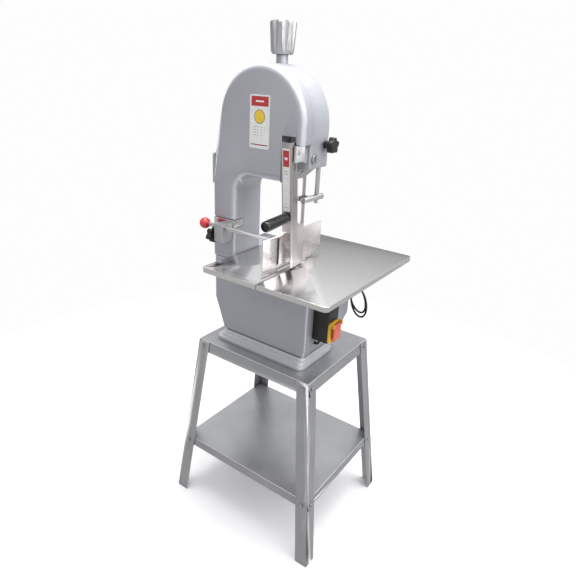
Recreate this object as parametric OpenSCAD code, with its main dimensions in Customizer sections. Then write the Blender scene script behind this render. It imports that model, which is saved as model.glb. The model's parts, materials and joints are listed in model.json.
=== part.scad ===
// Floor-standing bone saw: a band saw on a splayed steel stand.
// Millimetres. Origin on the floor under the middle of the overall length and width.
// +X is the right-hand side, +Y points away from the person at the doors, +Z is up.
// Every sub-part is drawn about the middle of the stand and then put in place by placed().

/* [Stand] */
// Width of the stand top, left to right
stand_w = 400; // [360:10:440]
// Depth of the stand top, front to back
stand_d = 336; // [320:4:360]
// Height of the stand top above the floor
stand_h = 585; // [540:5:620]
// How far each foot stands out sideways
splay_x = 69; // [50:1:80]
// How far each foot stands out to the front or back
splay_y = 51; // [40:1:60]
// Height of the lower shelf
shelf_z = 218; // [160:1:300]
// Width of one flange of a leg angle
leg_flange = 40; // [35:1:45]

/* [Saw blade and wheels] */
// Length of the closed saw blade
blade_len = 1650; // [1640:1:1652]
// Diameter of both band wheels
wheel_d = 220; // [216:1:222]
// Width of the blade, front to back
blade_w = 16; // [13:1:18]
// Thickness of the blade
blade_t = 0.6; // [0.5:0.1:0.8]

/* [Housing] */
// Width of the head, from the column's outer side to the blade's side
head_w = 287; // [283:1:291]
// Depth of both doors, front to back
door_d = 38; // [36:1:40]
// Depth of the head casting behind the door
head_d = 80; // [80:1:84]
// Wall thickness of the castings and doors
wall = 5; // [4:0.5:6]

/* [Table and gauge] */
// Width of the work table
table_w = 388; // [370:1:400]
// Depth of the work table
table_d = 482; // [460:1:500]
// Depth of the table's folded rim
rim_h = 14; // [10:1:16]
// Length of the portion gauge plate
gauge_len = 270; // [250:1:290]
// Height of the portion gauge plate
gauge_h = 92; // [80:1:92]

/* [Hidden] */
$fn = 64;

run = 0.05;          // radial clearance of a turning or sliding fit
gap = 0.3;           // gap between parts that pass each other
far = 1000;          // longer than any part, for cutting blocks

// stand
sheet = 1.5;
leg_t = 2;
rail_h = 38;
shelf_lip = 26;
lean_x = atan(splay_x / stand_h);   // lean of the side faces
lean_y = atan(splay_y / stand_h);   // lean of the front and back faces
stand_bolt_r = 3;

// saw: the machine stands forward of the stand's middle
deck = stand_h;                     // the plinth rests here
plinth_h = 32;
floor_z = deck + plinth_h;          // underside of the lower housing
left_x = -182;
right_x = left_x + head_w;
part_y = -80;                       // parting plane between doors and castings
front_y = part_y - door_d;
back_y = part_y + head_d;
top_z = floor_z + 245;              // joint between lower and upper castings
head_r = head_w / 2 - 9.5;          // radius of the head's round top
head_cx = right_x - head_r;
head_cz = top_z + 503.5 - head_r;
slope_z = top_z + 281;              // the head's left-hand side slopes inwards above this
hinge_boss = 6;                     // the upper door is this much wider along its hinge

// lower housing
foot_x0 = -146;                     // its left side slopes in to here, below the hinge
foot_x1 = 143;
foot_y = 35;                        // rear edge of its underside
rear_y = 120;

// wheels and blade
wheel_r = wheel_d / 2;
wheel_w = 24;
hub_r = 26;
web_t = 8;
blade_gap = 0.3;                    // blade stands this far off the wheels
blade_r = wheel_r + blade_gap;
centres = (blade_len - 2 * PI * (blade_r + blade_t / 2)) / 2;
wheel_x = -33;
wheel_y = -60;                      // mid plane of wheels and blade
upper_z = top_z + 357.5;
lower_z = upper_z - centres;
blade_x = wheel_x + blade_r + blade_t / 2;

// head outline
col_x = -106;                       // inner side of the column
throat_z = top_z + 228;             // underside of the head over the throat
throat_r = 45;
heel_x = 42;                        // where the head's underside starts to rise
heel_z = top_z + 266;               // underside at the right-hand end
notch_z = top_z + 324;              // top of the door's notch at the blade
slot_z = top_z + 342;               // top of the door's slot for the pusher arm
door_z = top_z + 103;               // lower edge of the upper door
mount_h = 21.5;                     // height of the gauge's mounting bar, just below that door
mount_z = door_z - 2 - mount_h;

// table
table_z = top_z + 3;
table_t = 3;
table_x = -106 + 0.5;
table_y = -251;
table_r = 12;
lower_door_top = table_z - rim_h - 3;   // the door swings under the table's rim

// gauge
rod_y = -150;
rod_z = top_z + 86;
rod_r = 6;
ball_r = 15.5;
ball_x = left_x - 5;
rod_end = 10;                       // the rod ends this far beyond the ball's middle
gauge_x = 63;
gauge_t = 3.5;
gauge_y = -205;
gauge_z = table_z + 5;

// pusher arm, hung from a pin along X
pivot_y = -112;
pivot_z = top_z + 304;
arm_x = 82.5;                       // right-hand face of the arm, just right of the blade
arm_t = 2.5;
slot_x = arm_x + 1.5;               // right-hand side of the door's slot for the arm
arm_w = 25;
arm_front = -22;                    // front face, from the pivot
arm_top = 28;
arm_r = pivot_z - table_z - 5;      // radius of the arm's lower edge about the pivot
arm_tilt = 5;                       // the arm hangs with its foot this much towards the blade
pin_r = 4;

// blade guide
post_x = 91;
post_y = -18;
post_r = 6;
bar_z = top_z + 185;
bar_r = 8;
spigot_r = 3;

post_knob_z = notch_z - 3;
pad_y0 = -68;                       // both ends of the hard pads
pad_y1 = -50;

// quarter-turn lock
lock_y = -65;
lock_z = heel_z + 23;
lock_r = 10;

// tension
screw_y = -26;
screw_r = 8;
knob_z = head_cz + head_r + 21;
knob_h = 74;

// switch
box_x = 150;
box_y0 = -85;
box_y1 = -30;
box_z0 = deck + 84;
box_z1 = deck + 200;
box_d = 46;
motor_lead_y = -70;
motor_lead_z = box_z0 - 16;

// hinges
hinge_x = left_x - 5;
hinge_r = 7;
hinge_pin_r = 3;
upper_hinge_z = top_z + 195;
lower_hinge_z = top_z - 146;
hinge_h = 80;
hinge_lug = 25;                     // length of each outer knuckle

grey = [0.62, 0.64, 0.67];
steel = [0.78, 0.79, 0.8];
zinc = [0.7, 0.71, 0.72];
black = [0.07, 0.07, 0.08];

// ---------- shared shapes ----------

// Moves the stand's middle to where it stands under the overall length and width
module placed() {
    middle_x = (table_x + table_w - stand_w / 2 - splay_x) / 2;
    middle_y = table_y + table_d / 2;
    translate([-middle_x, -middle_y, 0]) children();
}

// Cylinder along Y from y0 to y1
module rod_along_y(r, x, z, y0, y1) {
    translate([x, y1, z]) rotate([90, 0, 0]) cylinder(h = y1 - y0, r = r);
}

// Cylinder along X from x0 to x1
module rod_along_x(r, y, z, x0, x1) {
    translate([x0, y, z]) rotate([0, 90, 0]) cylinder(h = x1 - x0, r = r);
}

// Outline drawn in X and Z, made solid from y0 to y1
module along_y(y0, y1) {
    translate([0, y1, 0]) rotate([90, 0, 0]) linear_extrude(y1 - y0) children();
}

// Outline drawn in Y and Z, made solid from x0 to x1
module along_x(x0, x1) {
    translate([x0, 0, 0]) rotate([90, 0, 90]) linear_extrude(x1 - x0) children();
}

// Box between two corners
module block(a, b) {
    translate(a) cube(b - a);
}

// Rectangle with four round corners, between two corners
module round_rect(a, b, r) {
    translate([a[0] + r, a[1]]) square([b[0] - a[0] - 2 * r, b[1] - a[1]]);
    translate([a[0], a[1] + r]) square([b[0] - a[0], b[1] - a[1] - 2 * r]);
    for (x = [a[0] + r, b[0] - r], y = [a[1] + r, b[1] - r]) translate([x, y]) circle(r);
}

// Long outline with round ends: the path of a band round two circles
module stadium(r, x, z0, z1) {
    translate([x, z0]) circle(r, $fn = 180);
    translate([x, z1]) circle(r, $fn = 180);
    translate([x - r, z0]) square([2 * r, z1 - z0]);
}

// Outline of a lobed hand knob
module star_outline(r, lobes = 5) {
    lobe = r * 0.34;
    circle(r * 0.74);
    for (i = [0 : lobes - 1]) rotate((i + 0.5) * 360 / lobes) translate([r - lobe, 0]) circle(lobe);
}

// Lobed hand knob, axis along Z, with its boss below and its screw of radius stem_r to z = -stem
module star_knob(r, h, boss_r, boss_h, stem_r, stem) {
    translate([0, 0, boss_h]) linear_extrude(h) star_outline(r);
    cylinder(h = boss_h, r = boss_r);
    translate([0, 0, -stem]) cylinder(h = stem, r = stem_r);
}

// ---------- stand ----------

// How far a leaning side has moved out at height z
function out_x(z) = splay_x * (stand_h - z) / stand_h;
function out_y(z) = splay_y * (stand_h - z) / stand_h;

// Flat strip that leans with the stand's front face, between heights z0 and z1 and from
// edge ea to eb, each measured inwards from the leaning corner; inset moves it inwards
module front_strip(z0, z1, ea, eb, t, inset) {
    k = 1 / cos(lean_y);
    w = stand_w / 2;
    translate([0, -stand_d / 2 + inset * k, stand_h]) rotate([90 - lean_y, 0, 0])
        translate([0, 0, -t]) linear_extrude(t)
        polygon([[w + out_x(z0) - ea, (z0 - stand_h) * k], [w + out_x(z1) - ea, (z1 - stand_h) * k],
            [w + out_x(z1) - eb, (z1 - stand_h) * k], [w + out_x(z0) - eb, (z0 - stand_h) * k]]);
}

// The same strip across the whole front, narrowed by edge at both ends
module front_wall(z0, z1, edge, t, inset) {
    k = 1 / cos(lean_y);
    w = stand_w / 2 - edge;
    translate([0, -stand_d / 2 + inset * k, stand_h]) rotate([90 - lean_y, 0, 0])
        translate([0, 0, -t]) linear_extrude(t)
        polygon([for (s = [[-1, z0], [1, z0], [1, z1], [-1, z1]])
            [s[0] * (w + out_x(s[1])), (s[1] - stand_h) * k]]);
}

// Side face strips: the same shapes, leaning with the right-hand face
module side_strip(z0, z1, ea, eb, t, inset) {
    k = 1 / cos(lean_x);
    d = stand_d / 2;
    translate([stand_w / 2 - inset * k, 0, stand_h]) rotate([90, 0, 90]) rotate([-lean_x, 0, 0])
        translate([0, 0, -t]) linear_extrude(t)
        polygon([[-d - out_y(z0) + ea, (z0 - stand_h) * k], [-d - out_y(z1) + ea, (z1 - stand_h) * k],
            [-d - out_y(z1) + eb, (z1 - stand_h) * k], [-d - out_y(z0) + eb, (z0 - stand_h) * k]]);
}

module side_wall(z0, z1, edge, t, inset) {
    k = 1 / cos(lean_x);
    d = stand_d / 2 - edge;
    translate([stand_w / 2 - inset * k, 0, stand_h]) rotate([90, 0, 90]) rotate([-lean_x, 0, 0])
        translate([0, 0, -t]) linear_extrude(t)
        polygon([for (s = [[-1, z0], [1, z0], [1, z1], [-1, z1]])
            [s[0] * (d + out_y(s[1])), (s[1] - stand_h) * k]]);
}

bolt_levels = [stand_h - 20, shelf_z - 14];
bolt_in = 18;                       // bolt axis, inwards from the leaning corner

// Places children at both bolts of one level of the front right leg, +Z outwards
module at_leg_bolts(z) {
    translate([stand_w / 2 + out_x(z) - bolt_in, -stand_d / 2 - out_y(z), z])
        rotate([90 - lean_y, 0, 0]) children();
    translate([stand_w / 2 + out_x(z), -stand_d / 2 - out_y(z) + bolt_in, z])
        rotate([0, 90 - lean_x, 0]) children();
}

// Places children at every bolt of the stand
module at_stand_bolts() {
    for (mx = [0, 1], my = [0, 1]) mirror([mx, 0, 0]) mirror([0, my, 0])
        for (z = bolt_levels) at_leg_bolts(z) children();
}

module bolt_holes() {
    at_stand_bolts() translate([0, 0, -12]) cylinder(h = 24, r = stand_bolt_r + 0.2);
}

// One leg: a steel angle that leans both ways, cut level on the floor
module front_right_leg() {
    top = stand_h - sheet - gap;
    difference() {
        union() {
            front_strip(-6, top, 0, leg_flange, leg_t, 0);
            side_strip(-6, top, 0, leg_flange, leg_t, 0);
        }
        translate([0, 0, -far / 2]) cube(far, center = true);
        bolt_holes();
    }
}

module leg_front_right() { color(steel) front_right_leg(); }
module leg_front_left() { color(steel) mirror([1, 0, 0]) front_right_leg(); }
module leg_rear_right() { color(steel) mirror([0, 1, 0]) front_right_leg(); }
module leg_rear_left() { color(steel) mirror([1, 0, 0]) mirror([0, 1, 0]) front_right_leg(); }

// Sheet with four leaning lips, its top at height z; inset from the leaning faces
module lipped_sheet(z, lip, inset) {
    ex = 2 * (stand_w / 2 + out_x(z) - inset);
    ey = 2 * (stand_d / 2 + out_y(z) - inset);
    translate([-ex / 2, -ey / 2, z - sheet]) cube([ex, ey, sheet]);
    for (m = [0, 1]) {
        mirror([0, m, 0]) front_wall(z - lip, z - sheet / 2, inset + gap, sheet, inset + gap);
        mirror([m, 0, 0]) side_wall(z - lip, z - sheet / 2, inset + gap, sheet, inset + gap);
    }
}

base_bolt_at = [[-130, -105], [118, -105], [-130, 22], [118, 22]];

module stand_top() {
    color(steel) difference() {
        union() {
            translate([-stand_w / 2, -stand_d / 2, stand_h - sheet]) cube([stand_w, stand_d, sheet]);
            lipped_sheet(stand_h, rail_h, leg_t);
        }
        bolt_holes();
        for (p = base_bolt_at) translate([p[0], p[1], stand_h - 5]) cylinder(h = 10, r = 4.3);
    }
}

module lower_shelf() {
    color(steel) difference() {
        lipped_sheet(shelf_z, shelf_lip, leg_t + gap);
        bolt_holes();
    }
}

// Sixteen hexagon bolts hold the legs, four more hold the saw down
module stand_bolts() {
    color(zinc) {
        at_stand_bolts() {
            translate([0, 0, run]) cylinder(h = 3.5, r = 5.5, $fn = 6);
            translate([0, 0, -11]) cylinder(h = 11.5, r = stand_bolt_r);
        }
        for (p = base_bolt_at) translate([p[0], p[1], stand_h]) {
            translate([0, 0, -sheet - 5]) cylinder(h = 5, r = 7, $fn = 6);
            translate([0, 0, -sheet - 1]) cylinder(h = sheet + 11, r = 4);
        }
    }
}

module stand_nuts() {
    color(zinc) at_stand_bolts() translate([0, 0, -8.7]) difference() {
        cylinder(h = 4.5, r = 5.5, $fn = 6);
        translate([0, 0, -1]) cylinder(h = 7, r = stand_bolt_r + run);
    }
}

// ---------- lower housing ----------

// Stepped cast foot
module base_plinth() {
    step = plinth_h / 3;
    color(grey) difference() {
        for (i = [0 : 2]) translate([0, 0, deck]) linear_extrude(step * (i + 1))
            round_rect([-168 + 11 * i, -132 + 7 * i], [150 - 2.5 * i, 48 - 5 * i], 24 - 2 * i);
        for (p = base_bolt_at) translate([p[0], p[1], deck - 1]) cylinder(h = 13, r = 4 + run);
    }
}

// Front outline of the lower housing between two heights, moved inwards by d
module lower_outline(d, z0, z1, right = box_x) {
    intersection() {
        polygon([[left_x + d, far], [left_x + d, lower_hinge_z + d * 0.3], [foot_x0 + d, floor_z],
            [foot_x1 - d, floor_z], [right - d, floor_z + 25], [right - d, far]]);
        translate([-far / 2, z0]) square([far, z1 - z0]);
    }
}

// Side outline of the lower casting: it bulges to the rear round the motor
module lower_side(d) {
    bulge_z = floor_z + 63;
    polygon([[part_y - d, floor_z + d], [foot_y - d, floor_z + d], [rear_y - d, bulge_z + d / 2],
        [rear_y - d, top_z - d], [part_y - d, top_z - d]]);
}

// Two outer knuckles of a hinge whose lower end is at z, on the casting's side
module outer_knuckles(z) {
    for (dz = [0, hinge_h - hinge_lug]) translate([0, 0, z + dz]) {
        translate([hinge_x, part_y, 0]) cylinder(h = hinge_lug, r = hinge_r);
        translate([hinge_x, part_y, 0]) cube([10, hinge_r, hinge_lug]);
    }
}

// Middle knuckle, on the door's side
module inner_knuckle(z) {
    translate([0, 0, z + hinge_lug + gap]) {
        translate([hinge_x, part_y, 0]) cylinder(h = hinge_h - 2 * hinge_lug - 2 * gap, r = hinge_r);
        translate([hinge_x, part_y - hinge_r, 0])
            cube([10, hinge_r - gap, hinge_h - 2 * hinge_lug - 2 * gap]);
    }
}

// Room for the knuckles in the other half, and the bore for the pin
module hinge_room(z) {
    translate([hinge_x, part_y, z - gap]) cylinder(h = hinge_h + 2 * gap, r = hinge_r + gap);
}

module hinge_bore(z) {
    translate([hinge_x, part_y, z - 5]) cylinder(h = hinge_h + 10, r = hinge_pin_r + run);
}

module hinge_pin(z) {
    translate([hinge_x, part_y, z - 1]) cylinder(h = hinge_h + 2, r = hinge_pin_r);
    translate([hinge_x, part_y, z + hinge_h]) cylinder(h = 3, r = hinge_pin_r + 1.6);
}

bulkhead_y = -40;                   // wall between the wheel chamber and the motor
motor_r = 68;
motor_shaft_r = 9.5;
axle_end = 7;                       // both axles end this far in front of their wheels
motor_bolt_r = 4;
motor_bolt_at = [for (a = [45 : 90 : 315]) [wheel_x + 54 * cos(a), lower_z + 54 * sin(a)]];

// Opening for the blade in a level wall, lo to hi
module blade_opening(z0, z1) {
    block([blade_x - 6, wheel_y - 13, z0], [blade_x + 6, wheel_y + 13, z1]);
}

stud_at = [[-88, -22], [128, -22], [-88, 100], [128, 100]];

module base_casting() {
    color(grey) difference() {
        union() {
            difference() {
                intersection() {
                    along_y(part_y, rear_y) lower_outline(0, floor_z, top_z);
                    along_x(-far / 2, far / 2) lower_side(0);
                }
                difference() {
                    intersection() {
                        along_y(part_y - 1, rear_y) lower_outline(wall, floor_z, top_z);
                        along_x(-far / 2, far / 2) lower_side(wall);
                    }
                    block([-far / 2, bulkhead_y, floor_z], [far / 2, bulkhead_y + 6, top_z]);
                }
                hinge_room(lower_hinge_z);
            }
            outer_knuckles(lower_hinge_z);
            // fixed lip above the lower door
            block([left_x, front_y, lower_door_top + 1.5], [box_x, part_y + 1, top_z]);
        }
        hinge_bore(lower_hinge_z);
        rod_along_y(14, wheel_x, lower_z, bulkhead_y - 1, bulkhead_y + 7);
        for (p = motor_bolt_at)
            rod_along_y(motor_bolt_r + 0.2, p[0], p[1], bulkhead_y - 1, bulkhead_y + 7);
        blade_opening(top_z - wall - 1, top_z + 1);
        block([left_x + wall, part_y - 1, top_z - wall - 1], [col_x - wall, -6, top_z + 1]);
        for (p = stud_at) translate([p[0], p[1], top_z - 9]) cylinder(h = 12, r = 4.3);
        rod_along_x(5, motor_lead_y, motor_lead_z, box_x - 9, box_x + 2);
    }
}

// A hollow tray-shaped door: front face, side walls, open towards the casting
module door_shell() {
    difference() {
        along_y(front_y, part_y - gap) children(0);
        along_y(front_y + wall, part_y + 1) children(1);
    }
}

module lower_door() {
    z0 = floor_z + 2;
    z1 = lower_door_top;
    right = box_x - 0.6;
    color(grey) difference() {
        union() {
            difference() {
                door_shell() {
                    lower_outline(0, z0, z1, right);
                    lower_outline(wall, z0 + wall, z1 - wall, right);
                }
                hinge_room(lower_hinge_z);
            }
            inner_knuckle(lower_hinge_z);
        }
        hinge_bore(lower_hinge_z);
    }
}

module lower_hinge_pin() { color(zinc) hinge_pin(lower_hinge_z); }

// Motor body, flange and cooling ribs, with a clear bore for its shaft
module motor() {
    y0 = bulkhead_y + 6;
    color([0.25, 0.27, 0.3]) difference() {
        union() {
            rod_along_y(motor_r, wheel_x, lower_z, y0, y0 + 10);
            rod_along_y(motor_r - 8, wheel_x, lower_z, y0 + 9, y0 + 132);
            for (i = [0 : 9]) rod_along_y(motor_r - 3, wheel_x, lower_z, y0 + 22 + 10 * i, y0 + 25 + 10 * i);
        }
        rod_along_y(motor_shaft_r + run, wheel_x, lower_z, y0 - 1, y0 + 120);
        for (p = motor_bolt_at) rod_along_y(motor_bolt_r + run, p[0], p[1], y0 - 1, y0 + 9);
    }
}

module motor_bolts() {
    color(zinc) for (p = motor_bolt_at) {
        rod_along_y(motor_bolt_r, p[0], p[1], bulkhead_y - 1, bulkhead_y + 14);
        translate([p[0], bulkhead_y, p[1]]) rotate([90, 0, 0]) cylinder(h = 5, r = 7, $fn = 6);
    }
}

module motor_shaft() {
    color(zinc) rod_along_y(motor_shaft_r, wheel_x, lower_z, wheel_y - wheel_w / 2 - axle_end,
        bulkhead_y + 120);
}

// Cast band wheel: rim, web with round windows, and hub
module band_wheel(z, bore) {
    translate([wheel_x, wheel_y, z]) rotate([-90, 0, 0]) difference() {
        rotate_extrude($fn = 180) {
            translate([bore, -wheel_w / 2]) square([hub_r - bore, wheel_w]);
            translate([bore, -web_t / 2]) square([wheel_r - 5 - bore, web_t]);
            translate([wheel_r, 0]) polygon([[-10, -web_t / 2], [-9, -wheel_w / 2], [0, -wheel_w / 2],
                [0, wheel_w / 2], [-9, wheel_w / 2], [-10, web_t / 2]]);
        }
        for (a = [0 : 60 : 300]) rotate(a) translate([62, 0, -far / 2]) cylinder(h = far, r = 18);
    }
}

module lower_wheel() { color(steel) band_wheel(lower_z, motor_shaft_r + run); }

module wheel_nut(z, r, bore) {
    y1 = wheel_y - wheel_w / 2 - gap;
    difference() {
        translate([wheel_x, y1, z]) rotate([90, 0, 0]) cylinder(h = axle_end - gap, r = r, $fn = 6);
        rod_along_y(bore + run, wheel_x, z, y1 - axle_end, y1 + 1);
    }
}

module lower_wheel_nut() { color(zinc) wheel_nut(lower_z, 17, motor_shaft_r); }

// Shallow pan for bone dust under the lower wheel
module dust_tray() {
    z0 = floor_z + wall + 0.2;
    color(steel) difference() {
        block([-128, part_y + 2, z0], [128, bulkhead_y - 2, z0 + 24]);
        block([-126.5, part_y + 3.5, z0 + 1.5], [126.5, bulkhead_y - 3.5, z0 + 30]);
    }
}

// Two nylon blocks that wipe the blade above the lower wheel
module blade_scrapers() {
    z0 = lower_z + 70;
    color([0.92, 0.92, 0.88]) {
        block([blade_x + 1, wheel_y - 9, z0], [blade_x + 14, bulkhead_y, z0 + 22]);
        block([blade_x - 11, wheel_y - 9, z0 + 26], [blade_x - 1, bulkhead_y, z0 + 40]);
    }
}

// ---------- head ----------

// Where the sloping left-hand side meets the round top, for an outline moved inwards by d
function slope_top(d) =
    let (dx = left_x + d - head_cx, dz = slope_z - head_cz, r = head_r - d - 0.02,
        a = atan2(dz, dx) - acos(r / norm([dx, dz])))
    [head_cx + r * cos(a), head_cz + r * sin(a)];

// Front outline of head and column, moved inwards by d
module head_outline(d) {
    difference() {
        union() {
            translate([head_cx, head_cz]) circle(head_r - d, $fn = 180);
            polygon([[left_x + d, throat_z + d], [left_x + d, slope_z], slope_top(d), [head_cx, head_cz],
                [right_x - d, head_cz], [right_x - d, throat_z + d]]);
            translate([left_x + d, top_z]) square([col_x - left_x - 2 * d, slope_z - top_z]);
            difference() {
                translate([col_x - d - 1, throat_z - throat_r]) square([throat_r + d + 1, throat_r + d + 1]);
                translate([col_x + throat_r, throat_z - throat_r]) circle(throat_r + d);
            }
        }
        polygon([[heel_x, throat_z + d - 9], [heel_x, throat_z + d], [heel_x + 38, heel_z - 5 + d],
            [right_x + 1, heel_z + d], [right_x + 1, throat_z - 9]]);
    }
}

// Region of the upper door's notch around the blade and the pusher arm
module notch_outline(d) {
    translate([heel_x - d, throat_z - 60]) square([far, notch_z + d - throat_z + 60]);
    translate([heel_x - d, throat_z - 60]) square([slot_x - heel_x + 2 * d, slot_z + d - throat_z + 60]);
}

module head_casting() {
    color(grey) difference() {
        union() {
            difference() {
                along_y(part_y, back_y) head_outline(0);
                along_y(part_y - 1, back_y - wall) head_outline(wall + 1);
                hinge_room(upper_hinge_z);
            }
            outer_knuckles(upper_hinge_z);
            // wall behind the door's notch
            along_y(part_y - 4, part_y + 1) intersection() {
                head_outline(0.5);
                notch_outline(-1);
            }
            // boss for the tension screw
            translate([wheel_x, screw_y, head_cz + head_r - 14]) cylinder(h = 34.5, r = 15);
        }
        hinge_bore(upper_hinge_z);
        translate([wheel_x, screw_y, head_cz + 60]) cylinder(h = 120, r = screw_r + run);
        block([blade_x - 6, wheel_y - 13, throat_z - 1], [blade_x + 6, wheel_y + 13, heel_z + wall + 4]);
        translate([post_x, post_y, heel_z - 20]) cylinder(h = 40, r = post_r + 1);
        rod_along_x(4 + run, post_y, post_knob_z, right_x - 10, right_x + 5);
        rod_along_x(lock_r + run, lock_y, lock_z, right_x - 10, right_x + 5);
    }
}

module upper_outline(d) {
    difference() {
        head_outline(d);
        notch_outline(d);
        translate([-far / 2, top_z - 10]) square([far, door_z + d - top_z + 10]);
    }
}

module upper_door() {
    color(grey) difference() {
        union() {
            difference() {
                union() {
                    door_shell() {
                        upper_outline(0);
                        upper_outline(wall);
                    }
                    block([left_x - hinge_boss, front_y, upper_hinge_z],
                        [left_x + 1, part_y - gap, upper_hinge_z + hinge_h]);
                }
                hinge_room(upper_hinge_z);
            }
            inner_knuckle(upper_hinge_z);
        }
        hinge_bore(upper_hinge_z);
    }
}

module upper_hinge_pin() { color(zinc) hinge_pin(upper_hinge_z); }

// Sticker on the upper door
module door_label() {
    color("white") along_y(front_y - 0.4, front_y)
        round_rect([-58, top_z + 304], [4, top_z + 431], 4);
}

// Fixed cover at the foot of the column
module column_base_cover() {
    cover_h = mount_z - 1 - top_z;
    color(grey) door_shell() {
        translate([left_x, top_z + 0.5]) square([col_x - left_x, cover_h - 0.5]);
        translate([left_x + wall, top_z - 1]) square([col_x - left_x - 2 * wall, cover_h + 0.5 - wall]);
    }
}

// Slotted quarter-turn lock in the head's side
module door_lock() {
    color(zinc) translate([right_x, lock_y, lock_z]) {
        difference() {
            rod_along_x(lock_r + 2, 0, 0, gap, 4);
            block([1.5, -2, -7], [5, 2, 7]);
        }
        rod_along_x(lock_r, 0, 0, -9, 1);
        block([-12, -4, -8], [-9, 4, 14]);
    }
}

bearing_r = 17.5;
axle_r = 7.5;

module upper_wheel() { color(steel) band_wheel(upper_z, bearing_r); }

// Two ball bearings pressed into the upper wheel's hub
module upper_bearings() {
    color(zinc) for (s = [-1, 1]) difference() {
        rod_along_y(bearing_r, wheel_x, upper_z, wheel_y + s * 6.5 - 5.5, wheel_y + s * 6.5 + 5.5);
        rod_along_y(axle_r + run, wheel_x, upper_z, wheel_y - 20, wheel_y + 20);
    }
}

carriage_y = -46;

module upper_shaft() {
    color(zinc) rod_along_y(axle_r, wheel_x, upper_z, wheel_y - wheel_w / 2 - axle_end, carriage_y + 9);
}

module upper_wheel_nut() { color(zinc) wheel_nut(upper_z, 13, axle_r); }

carriage_w = 64;
carriage_h = 60;
groove = 6;
groove_y0 = -22;
groove_y1 = -14;

// Sliding block that carries the upper wheel's axle
module tension_carriage() {
    x0 = wheel_x - carriage_w / 2;
    color([0.45, 0.46, 0.48]) difference() {
        block([x0, carriage_y, upper_z - carriage_h / 2],
            [x0 + carriage_w, back_y - wall - 1, upper_z + carriage_h / 2]);
        for (x = [x0 - 1, x0 + carriage_w - groove])
            block([x, groove_y0, upper_z - carriage_h], [x + groove + 1, groove_y1, upper_z + carriage_h]);
        rod_along_y(axle_r + run, wheel_x, upper_z, carriage_y - 1, carriage_y + 10);
        translate([wheel_x, screw_y, upper_z - 50]) cylinder(h = 100, r = screw_r + run);
    }
}

// Two rails on the head's back wall, with a tongue in each groove of the carriage
module carriage_rails() {
    color(zinc) for (m = [0, 1]) translate([wheel_x, 0, 0]) mirror([m, 0, 0]) {
        x0 = carriage_w / 2 + 0.1;
        block([x0, carriage_y + 6, upper_z - 60], [x0 + 12, back_y - wall, upper_z + 62]);
        block([x0 - groove + 0.3, groove_y0 + 0.1, upper_z - 60], [x0 + 1, groove_y1 - 0.1, upper_z + 62]);
    }
}

// Tension screw with a thrust collar under the head's top
module tension_screw() {
    z1 = knob_z + knob_h - 8 - run;
    color(zinc) translate([wheel_x, screw_y, 0]) {
        translate([0, 0, upper_z - 25]) cylinder(h = z1 - upper_z + 25, r = screw_r);
        translate([0, 0, head_cz + head_r - 24]) cylinder(h = 9, r = 13);
    }
}

// Tall tapered hand knob with round flutes
module tension_knob() {
    bore = screw_r + run;
    color([0.83, 0.84, 0.86]) translate([wheel_x, screw_y, knob_z]) difference() {
        rotate_extrude() polygon([[bore, 0], [25, 0], [29, 6], [32.5, 58], [33.5, 70], [31, knob_h],
            [0, knob_h], [0, knob_h - 8], [bore, knob_h - 8]]);
        for (a = [0 : 45 : 315]) rotate(a) translate([39, 0, 5]) cylinder(h = 80, r = 11);
    }
}

// ---------- blade and guide ----------

module saw_blade() {
    color(steel) along_y(wheel_y - blade_w / 2, wheel_y + blade_w / 2) difference() {
        stadium(blade_r + blade_t, wheel_x, lower_z, upper_z);
        stadium(blade_r, wheel_x, lower_z, upper_z);
    }
}

// Upright post: its thin lower end goes through the bar and carries a nut
module guide_post() {
    color(steel) translate([post_x, post_y, bar_z]) {
        translate([0, 0, 5]) cylinder(h = 146, r = post_r);
        translate([0, 0, -16]) cylinder(h = 24, r = spigot_r);
        translate([0, 0, -15]) cylinder(h = 15 - bar_r - run, r = 7, $fn = 6);
    }
}

// Round bar from the post to the blade, with a forked nose
module guide_bar() {
    color(steel) difference() {
        union() {
            rod_along_y(bar_r, post_x, bar_z, -82, 6);
            block([blade_x - 12, pad_y1 + 1, bar_z - 6], [post_x, pad_y1 + 9, bar_z + 6]);
            block([blade_x - 12, pad_y0 - 2, bar_z - 6], [blade_x - 8, pad_y1 + 9, bar_z + 6]);
        }
        translate([post_x, post_y, bar_z - 10]) cylinder(h = 20, r = spigot_r + run);
        translate([post_x, post_y, bar_z + 5 - run]) cylinder(h = 10, r = post_r + run);
    }
}

// Hard pads on both sides of the blade and behind it
module guide_pads() {
    color([0.3, 0.3, 0.32]) {
        block([blade_x - 8, pad_y0, bar_z - 6], [blade_x - 0.5, pad_y1, bar_z + 6]);
        block([blade_x + 0.5, pad_y0, bar_z - 4], [post_x - bar_r - run, pad_y1, bar_z + 4]);
    }
}

// Bush that holds the post inside the head
module guide_bush() {
    color(zinc) difference() {
        block([post_x - 11, post_y - 13, heel_z + wall + 3], [right_x - wall - 1.1, back_y - wall, notch_z + 10]);
        translate([post_x, post_y, heel_z]) cylinder(h = 100, r = post_r + run);
        rod_along_x(4.5, post_y, post_knob_z, post_x, right_x);
    }
}

// Star knob that clamps the guide post
module post_knob() {
    stem = right_x + gap - post_x - post_r - 0.1;
    color(black) translate([right_x + gap, post_y, post_knob_z]) rotate([0, 90, 0])
        star_knob(20, 16, 9, 14, 4, stem);
}

// ---------- gauge ----------

// Bright bar across the column that carries the gauge's clamp
module gauge_mount_bar() {
    color(steel) block([left_x + 1, front_y - 2, mount_z], [col_x - 1, part_y, mount_z + mount_h]);
}

clamp_x0 = -142;
clamp_x1 = -112;
clamp_drop = 28.5;                  // clamp screw's axis, below the rod's

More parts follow.
